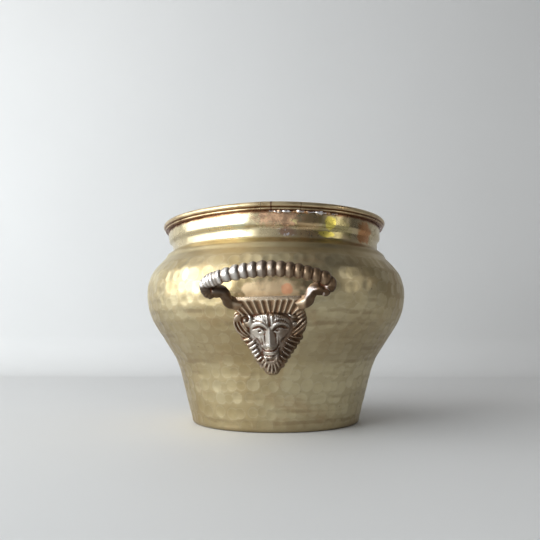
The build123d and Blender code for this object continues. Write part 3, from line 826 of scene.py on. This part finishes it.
def make_front_handle():
    """The cast handle in one skin: mask, arms and bow bar."""
    vertices, faces = mask_mesh()
    for points, more_faces in (arm_mesh(-1), arm_mesh(1), bar_mesh()):
        start = len(vertices)
        x, z = leaned_plane(points[:, 0], points[:, 2])
        vertices = np.vstack([vertices, np.stack([x, points[:, 1], z], -1)])
        faces = faces + [tuple(start + v for v in face) for face in more_faces]
    handle = mesh_object("lion_handle_front", vertices, faces)
    cast = handle.modifiers.new("cast", "REMESH")
    cast.mode = "VOXEL"
    cast.voxel_size = cast_voxel * MM
    cast.use_smooth_shade = True
    fettled = handle.modifiers.new("fettled", "SMOOTH")
    fettled.factor = 0.5
    fettled.iterations = 1
    depsgraph = bpy.context.evaluated_depsgraph_get()
    done = bpy.data.meshes.new_from_object(handle.evaluated_get(depsgraph))
    handle.modifiers.clear()
    handle.data = smoothed(done)
    mark_hollows(handle)
    return handle


def triples(items, name):
    """What each of some items keeps under a name, as rows of three."""
    values = np.zeros(len(items) * 3)
    items.foreach_get(name, values)
    return values.reshape(-1, 3)


def mark_hollows(piece):
    """Stores how deep each point lies below its surroundings, in mm: a fine and a broad measure."""
    mesh = piece.data
    count = len(mesh.vertices)
    places, normals = triples(mesh.vertices, "co") / MM, triples(mesh.vertex_normals, "vector")
    ends = np.zeros(len(mesh.edges) * 2, int)
    mesh.edges.foreach_get("vertices", ends)
    one, other = np.concatenate([ends[0::2], ends[1::2]]), np.concatenate([ends[1::2], ends[0::2]])
    neighbours = np.maximum(np.bincount(one, minlength=count), 1)
    soft = places.copy()
    step = 0
    for name, rounds in hollow_rounds.items():
        while step < rounds:
            for axis in range(3):
                soft[:, axis] = np.bincount(one, weights=soft[other, axis], minlength=count) / neighbours
            step += 1
        store(piece, name, ((soft - places) * normals).sum(1))


def moved_copy(piece, name, move):
    """A copy of a piece whose places, in metres, are moved by a function."""
    mesh = piece.data.copy()
    mesh.vertices.foreach_set("co", move(triples(mesh.vertices, "co")).ravel())
    mesh.update()
    return in_scene(name, mesh)


def opposite(places):
    """Places on the far side of the pot."""
    return places * (-1, -1, 1)


def bent_copy(node, name):
    """A copy of a part of the frame that follows the bend of the neck."""
    piece = moved_copy(node, name, lambda places: bent(places / MM) * MM)
    store(piece, "level", triples(node.data.vertices, "co")[:, 2])
    return piece


class Value:
    """An output of a node, with the sums that the materials use."""

    def __init__(self, nodes, socket):
        self.nodes, self.socket = nodes, socket

    def __add__(self, other):
        return self.nodes.math("ADD", self, other)

    def __sub__(self, other):
        return self.nodes.math("SUBTRACT", self, other)

    def __rsub__(self, other):
        return self.nodes.math("SUBTRACT", other, self)

    def __mul__(self, other):
        return self.nodes.math("MULTIPLY", self, other)

    def __truediv__(self, other):
        return self.nodes.math("DIVIDE", self, other)

    def __abs__(self):
        return self.nodes.math("ABSOLUTE", self)

    def part(self, axis):
        """One part of a vector."""
        return self.nodes.made("ShaderNodeSeparateXYZ", axis, {0: self})

    def ramp(self, low, high, at_low=0, at_high=1):
        """A soft step between two values."""
        limits = {"Value": self, "From Min": low, "From Max": high, "To Min": at_low, "To Max": at_high}
        return self.nodes.made("ShaderNodeMapRange", "Result", limits, interpolation_type="SMOOTHSTEP")

    def zone(self, start, full, fading, end):
        """1 from full to fading, and 0 before start and after end."""
        return self.ramp(start, full) * self.ramp(fading, end, 1, 0)


class Nodes:
    """A short way to write the nodes of a material or a world. Its colour is painted in layers."""

    def __init__(self, owner, places="Object"):
        owner.use_nodes = True
        self.owner, self.tree = owner, owner.node_tree
        self.place = self.made("ShaderNodeTexCoord", places)
        self.colour = None

    def fill(self, node, values):
        """Sets or links a node's inputs."""
        for key, value in values.items():
            if isinstance(value, Value):
                self.tree.links.new(value.socket, node.inputs[key])
            elif value is not None:
                node.inputs[key].default_value = value

    def made(self, kind, output=0, values=(), **settings):
        """One output of a new node."""
        node = self.tree.nodes.new(kind)
        for key, value in settings.items():
            setattr(node, key, value)
        self.fill(node, dict(values))
        return Value(self, node.outputs[output])

    def math(self, operation, *values):
        return self.made("ShaderNodeMath", 0, enumerate(values), operation=operation)

    def attribute(self, name):
        return self.made("ShaderNodeAttribute", "Fac", attribute_name=name)

    def noise(self, scale, detail=4, roughness=0.5, stretch=(1, 1, 1), distortion=0):
        place = self.made("ShaderNodeMapping", 0, {"Scale": stretch, "Vector": self.place})
        values = {"Scale": scale, "Detail": detail, "Roughness": roughness, "Distortion": distortion}
        return self.made("ShaderNodeTexNoise", "Fac", {"Vector": place, **values})

    def mix(self, share, first, second):
        first, second = ((*each, 1) if isinstance(each, tuple) else each for each in (first, second))
        values = {"Factor": share, "A": first, "B": second}
        return self.made("ShaderNodeMix", "Result", values, data_type="RGBA")

    def paint(self, share, tint):
        """Puts a tint over the colour."""
        self.colour = self.mix(share, self.colour, tint)

    def turn(self):
        """The angle round the pot, from the front to the right."""
        return self.math("ARCTAN2", self.place.part("X"), self.place.part("Y") * -1)

    def stain(self, turn, z, middle, reach, strength):
        """A patch with a ragged edge, at an angle round the pot and a height."""
        across, up = (turn - middle[0]) / reach[0], (z - middle[1]) / reach[1]
        away = self.math("POWER", abs(across), 2) + self.math("POWER", abs(up), 2)
        ragged = (self.noise(95, 5, 0.65) - 0.5) * 3.2
        return (away + ragged).ramp(0.35, 1.15, strength, 0)

    def line(self, away, wander, reach, strength):
        """A thin line with a ragged edge, from the distance to its middle."""
        return (abs(away) + (wander - 0.5) * reach).ramp(0.3 * reach, reach, strength, 0)

    def bump(self, height, strength, distance, normal=None):
        values = {"Height": height, "Strength": strength, "Distance": distance, "Normal": normal}
        return self.made("ShaderNodeBump", "Normal", values)

    def finish(self, roughness, normal=None, metallic=1.0):
        """Gives the material its colour, roughness, normal and share of metal."""
        values = {"Base Color": self.colour, "Roughness": roughness, "Metallic": metallic, "Normal": normal}
        self.fill(self.tree.nodes["Principled BSDF"], values)
        return self.owner


def new_material(name):
    """The nodes of a new material."""
    return Nodes(bpy.data.materials.new(name))


def hammered_brass():
    """Aged brass: olive and dull below, burnished and stained on the neck, with small dark pits. Painted
    shade darkens a band under the belly, and painted reflections lie on the neck and under the bar.
    """
    m = new_material("hammered_brass")
    z, turn = m.attribute("level"), m.turn()
    film, speck = m.noise(31, 6, 0.62, distortion=0.6), m.noise(420, 3, 0.6)
    tone, edge = m.attribute("mark_tone"), m.attribute("mark_edge")
    m.colour = m.mix(m.noise(9, 5, 0.55).ramp(0.36, 0.66), (0.42, 0.32, 0.16), (0.63, 0.55, 0.345))
    m.paint(tone.ramp(0, 0.5, 0.18, 0), (0.38, 0.31, 0.205))
    m.paint(tone.ramp(0.5, 1, 0, 0.22), (0.74, 0.67, 0.47))
    m.paint(edge * 0.24, (0.33, 0.25, 0.15))
    m.paint(edge.zone(*mark_brim_zone) * 0.15, (0.78, 0.72, 0.54))
    belly_patina(m, z)
    m.paint(film.ramp(0.52, 0.74, 0, 0.50), (0.42, 0.28, 0.15))
    clean, chalky = neck_patina(m, turn, z)
    pits = m.made("ShaderNodeTexVoronoi", "Distance", {"Vector": m.place, "Scale": 105}).ramp(0, 0.13, 1, 0)
    pits = pits * (m.noise(17, 2).ramp(0.54, 0.62) * clean.ramp(0, 1, 1, 0.3))
    m.paint(pits * 0.7, (0.16, 0.10, 0.06))
    m.paint(z.ramp(0, 0.010, 0.5, 0), (0.25, 0.18, 0.10))
    rough = film.ramp(0.25, 0.75, 0.30, 0.42) - clean * 0.08 + edge * 0.08 + (speck - 0.5) * 0.08
    normal = m.bump(m.noise(900, 2, stretch=(0.12, 0.12, 1)), 0.12, 0.0004)
    normal = m.bump(speck - pits, 0.08, 0.0006, normal)
    return m.finish(rough, normal, chalky.ramp(0, 1, 1, 0.08))


def belly_patina(m, z):
    """Brown streaks between the rows of marks, most of them under the belly, and painted shade in a band
    under the belly.
    """
    rows = m.math("SINE", z * (2 * math.pi / streak_pitch) + m.noise(26, 4, 0.6) * 5)
    wide = m.noise(13, 4, 0.6, stretch=(0.6, 0.6, 2.6))
    broken = wide.ramp(0.44, 0.60) * m.noise(70, 3, 0.6).ramp(0.35, 0.55)
    streak = rows.ramp(0.1, 0.95) * broken * z.ramp(0.112, 0.150, 1, 0.15)
    m.paint(streak * 0.55, (0.27, 0.19, 0.105))
    m.paint(wide.ramp(0.52, 0.70, 0, 0.40), (0.37, 0.28, 0.16))
    # Painted shade: a darker band under the belly
    m.paint(z.zone(*under_belly_shade_zone) * 0.38, (0.33, 0.25, 0.145))


def neck_patina(m, turn, z):
    """The neck's polish and stains, two painted yellow reflections on it, a broad painted reflection under
    the bar, and the film under the rim. Gives how clean and how chalky it is.
    """
    clean = z.ramp(0.1665, 0.1725)
    m.paint(clean * 0.6, (0.69, 0.58, 0.37))
    mottle = m.noise(130, 4, 0.65)
    coppery = m.stain(turn, z, *copper_stain)
    chalky = coppery * 0.6
    # Stains, and two yellow patches that are painted reflections
    for *stain, tint in neck_stains_and_reflections:
        m.paint(m.stain(turn, z, *stain), tint)
    # Chalky copper spots, and a broad pale patch under the bar that is a painted reflection
    for *stain, tint in chalky_stains_and_painted_reflection:
        spot = m.stain(turn, z, *stain)
        m.paint(spot, tint)
        chalky = m.math("MAXIMUM", chalky, spot)
    copper = m.mix(mottle.ramp(0.40, 0.58), (0.36, 0.20, 0.12), (0.84, 0.50, 0.30))
    m.paint(coppery, m.mix(m.noise(210, 2).ramp(0.58, 0.66), copper, (0.90, 0.74, 0.34)))
    bead = m.mix(m.noise(300, 2).ramp(0.55, 0.62), (0.46, 0.29, 0.20), (0.86, 0.82, 0.84))
    m.paint(m.stain(turn, z, *solder_stain), bead)
    film = (z + (mottle - 0.5) * 0.004).ramp(0.1895, 0.1920)
    m.paint(film * 0.9, (0.21, 0.085, 0.035))
    return clean, chalky


def rim_brass():
    """Burnished roll with a reddish brown film in its creases."""
    m = new_material("rim_brass")
    film = m.noise(60, 5, 0.6, stretch=(1, 1, 2))
    z, turn = m.attribute("level"), m.turn()
    m.colour = m.mix(film.ramp(0.35, 0.65), (0.44, 0.32, 0.18), (0.63, 0.50, 0.30))
    for middle, reach, strength in rim_creases:
        m.paint(m.line(z - middle, film, reach, strength), (0.19, 0.075, 0.03))
    for middle, reach in rim_marks:
        m.paint(m.line(turn - middle, film, reach, 0.85), (0.14, 0.05, 0.03))
    return m.finish(film.ramp(0.3, 0.7, 0.24, 0.40), m.bump(m.noise(500, 3), 0.12, 0.0004))


def cast_brass():
    """Cast metal with a brown patina: reddish hollows, a silvery worn face, browner crest, arms and bar.
    Painted shade darkens the bar towards the right, the right of the mask and what faces right, and a
    painted highlight lies on the right arm.
    """
    m = new_material("cast_brass")
    fine, broad = m.attribute("hollow_fine"), m.attribute("hollow_broad")
    x, z = m.place.part("X"), m.place.part("Z")
    away, patch = abs(x), m.noise(70, 5, 0.6)
    right = m.made("ShaderNodeNewGeometry", "Normal").part("X")
    crest, bar = z.zone(*crest_zone), z.ramp(*bar_start)
    face = z.ramp(0.101, 0.103, 1, 0) * away.ramp(0.015, 0.020, 1, 0) * z.ramp(0.064, 0.069, 0.25, 1)
    arms = away.ramp(0.0265, 0.030) * z.zone(*arm_zone)
    m.colour = m.mix(patch.ramp(0.35, 0.65), (0.23, 0.150, 0.092), (0.37, 0.265, 0.175))
    m.paint(face * 0.8, (0.78, 0.73, 0.66))
    m.paint(crest * 0.9, (0.60, 0.42, 0.27))
    # The bar: silvery wear on its left, and painted shade that turns it dark brown towards the right
    m.paint(bar * 0.85, m.mix(x.ramp(-0.036, 0.020), (0.46, 0.41, 0.36), (0.13, 0.085, 0.055)))
    m.paint(arms * 0.9, (0.070, 0.040, 0.022))
    uneven = (patch - 0.5) * 0.30
    worn = (fine * -1.5 + broad * -0.22 + uneven).ramp(0.08, 0.62) * (0.92 - arms * 0.86)
    bright = m.mix(face.ramp(0, 1, 0, 0.85), (0.64, 0.53, 0.41), (0.93, 0.91, 0.87))
    bright = m.mix(crest, bright, (0.86, 0.72, 0.54))
    # Worn bar tops: silvery on the left, browner towards the right as painted shade
    bright = m.mix(bar, bright, m.mix(x.ramp(-0.036, 0.030), (0.90, 0.87, 0.83), (0.56, 0.40, 0.25)))
    m.paint(worn, bright)
    hollow = (fine * 1.3 + broad * crest.ramp(0, 1, 0.22, 0.16) + uneven).ramp(0.02, 0.46)
    rust = m.mix(m.noise(160, 3).ramp(0.42, 0.60), (0.080, 0.038, 0.022), (0.18, 0.065, 0.030))
    m.paint(hollow * (0.94 - crest * 0.30), rust)
    # Painted shade: the right of the mask below the crest, surfaces that face right (not at the far left),
    # and the right-facing flanks of the bar's reeds
    right_face_shade = x.ramp(0.002, 0.011) * z.ramp(0.088, 0.100, 0.85, 0.35) * z.ramp(0.1005, 0.1025, 1, 0)
    right_facing_shade = right.ramp(-0.05, 0.45) * x.ramp(-0.045, -0.015)
    right_reed_shade = right.ramp(-0.35, 0.10) * x.ramp(-0.036, -0.004) * bar
    shade = m.math("MAXIMUM", m.math("MAXIMUM", right_face_shade, right_facing_shade * 0.72), right_reed_shade * 0.8)
    m.paint(shade, (0.130, 0.078, 0.044))
    # Painted highlight: the right arm where it faces left
    m.paint(right.ramp(-0.65, -0.30, 0.8, 0) * x.ramp(0.024, 0.028) * arms, (0.80, 0.70, 0.66))
    return m.finish(worn.ramp(0, 1, 0.38, 0.27) + hollow * 0.2, m.bump(m.noise(1400, 3, 0.6), 0.25, 0.0005))


def solder_metal():
    """Lumpy grey solder, stained by the copper it ran over."""
    m = new_material("solder_metal")
    stain = m.noise(160, 4, 0.6)
    m.colour = m.mix(stain.ramp(0.45, 0.60), (0.78, 0.76, 0.77), (0.52, 0.31, 0.16))
    return m.finish(stain.ramp(0.3, 0.7, 0.22, 0.5), m.bump(m.noise(900, 4), 0.4, 0.0005))


def rivet_brass():
    """Tarnished hammered rivet metal."""
    m = new_material("rivet_brass")
    patch = m.noise(300, 4)
    m.colour = m.mix(patch.ramp(0.4, 0.6), (0.15, 0.11, 0.085), (0.33, 0.28, 0.23))
    return m.finish(patch.ramp(0.3, 0.7, 0.3, 0.48), m.bump(m.noise(700, 3), 0.35, 0.0004))


def core_wire():
    """Drawn iron wire with a little rust."""
    m = new_material("core_wire")
    rust = m.noise(120, 5, 0.65)
    m.colour = m.mix(rust.ramp(0.48, 0.62), (0.40, 0.38, 0.36), (0.24, 0.11, 0.05))
    return m.finish(rust.ramp(0.4, 0.6, 0.34, 0.7), metallic=rust.ramp(0.5, 0.62, 1, 0.3))


def pale_floor():
    """Plain pale studio floor."""
    m = new_material("pale_floor")
    m.colour = m.mix(m.noise(3, 3), (0.60, 0.595, 0.585), (0.64, 0.635, 0.625))
    return m.finish(0.62, m.bump(m.noise(240, 3), 0.05, 0.0005), metallic=0.0)


def dress(piece, material, slot=None):
    """Gives a piece its material, and hangs it under the root body if it is given a slot."""
    piece.data.materials.clear()
    piece.data.materials.append(material)
    if slot:
        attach(piece, "root")
    return piece


def make_solder():
    """The lumpy run of solder under the rim."""
    source = np.random.default_rng(5)
    low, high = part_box("rim_solder")
    middle_height = (low.z + high.z) / 2 / MM
    waves = source.uniform(0, 2 * math.pi, 6)
    vertices = []
    for index, turn in enumerate(np.linspace(solder_start, solder_end, solder_steps)):
        end = math.sqrt(max(1 - (2 * index / (solder_steps - 1) - 1) ** 8, solder_end_least))
        lump = solder_size
        for (size, rate), wave in zip(solder_lumps, waves):
            lump += size * math.sin(turn * rate + wave)
        lump = end * max(lump, solder_least)
        drop = solder_drop[0] * math.sin(turn * solder_drop[1] + waves[3])
        for k in range(solder_columns):
            angle = 2 * math.pi * k / solder_columns
            ripple = 1 + solder_ripple[0] * math.sin(3 * angle + turn * solder_ripple[1] + waves[4])
            across = solder_width * lump * ripple * (0.5 + math.cos(angle))
            out = neck_radius + solder_out + max(across, solder_inset)
            height = middle_height + solder_rise + drop + solder_height * lump * ripple * math.sin(angle)
            vertices.append((out * math.sin(turn), -out * math.cos(turn), height))
    faces = stacked_faces(solder_steps, solder_columns)
    faces.append(tuple(range(solder_columns))[::-1])
    faces.append(tuple(range(len(vertices) - solder_columns, len(vertices))))
    return mesh_object("lumpy_solder", bent(np.array(vertices)), faces)


def make_stage():
    """Plain pale floor that turns up into a backdrop behind the pot."""
    profile = [(-stage_reach, 0.0)]
    for angle in np.linspace(0, math.pi / 2, cove_steps + 1):
        back, up = cove_radius * (1 - math.sin(angle)), cove_radius * (1 - math.cos(angle))
        profile.append((backdrop_place - back, up))
    profile.append((backdrop_place, stage_reach))
    corners = [(side * stage_reach, y, z) for y, z in profile for side in (-1, 1)]
    faces = [(2 * k, 2 * k + 1, 2 * k + 3, 2 * k + 2) for k in range(len(profile) - 1)]
    floor = mesh_object("floor", corners, faces)
    floor.data.materials.append(pale_floor())


def add_lamp(name, place, size, power, colour, faced_height):
    """A soft rectangular lamp that faces the pot's axis."""
    data = bpy.data.lights.new(name, "AREA")
    data.shape = "RECTANGLE"
    data.size, data.size_y = size
    data.energy = power
    data.color = colour
    lamp = in_scene(name, data)
    lamp.location = place
    lamp.rotation_euler = (Vector((0, 0, faced_height)) - Vector(place)).to_track_quat("-Z", "Y").to_euler()


def make_light():
    """A large soft window light from the left in a grey room that is darker on the right."""
    for each in lamps:
        add_lamp(*each)
    world = bpy.data.worlds.new("studio")
    m = Nodes(world, "Generated")
    grey = m.mix(m.place.part("X").ramp(-0.25, 0.75), (0.50, 0.505, 0.515), (0.04, 0.04, 0.045))
    m.fill(m.tree.nodes["Background"], {"Color": grey})
    bpy.context.scene.world = world


def make_camera():
    """The photograph's camera: low, close and tilted up a little."""
    data = bpy.data.cameras.new("camera")
    data.sensor_width = sensor_width
    data.lens = focal_pixels / photo_width * sensor_width
    data.shift_x = (photo_width / 2 - axis_pixel) / photo_width
    camera = in_scene("camera", data)
    out = camera_distance * MM
    camera.location = (out * math.sin(camera_turn), -out * math.cos(camera_turn), camera_height * MM)
    camera.rotation_euler = (math.pi / 2 + camera_pitch, 0, camera_turn)
    bpy.context.scene.camera = camera


def main():
    """The dressed pot on its stage, with its light and camera."""
    casting, rivets = cast_brass(), rivet_brass()
    pot = dress(make_pot(), hammered_brass(), "hammered_brass")
    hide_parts("pot_body")
    front = dress(make_front_handle(), casting, "cast_brass")
    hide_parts("front_handle")
    rear = dress(moved_copy(front, "lion_handle_rear", opposite), casting, "cast_brass")
    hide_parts("rear_handle")
    solder = dress(make_solder(), solder_metal(), "solder")
    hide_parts("rim_solder")
    bead = dress(bent_copy(nodes["rim_bead"], "bent_rim"), rim_brass(), "rim_brass")
    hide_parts("rim_bead")
    wire = dress(bent_copy(nodes["rim_wire"], "bent_rim_wire"), core_wire(), "core_wire")
    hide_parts("rim_wire")
    for name in ("front_handle_rivets", "rear_handle_rivets", "front_rivet_washers", "rear_rivet_washers"):
        dress(nodes[name], rivets)
    make_stage()
    make_light()
    make_camera()
    bpy.context.scene.view_settings.view_transform = "Standard"


main()
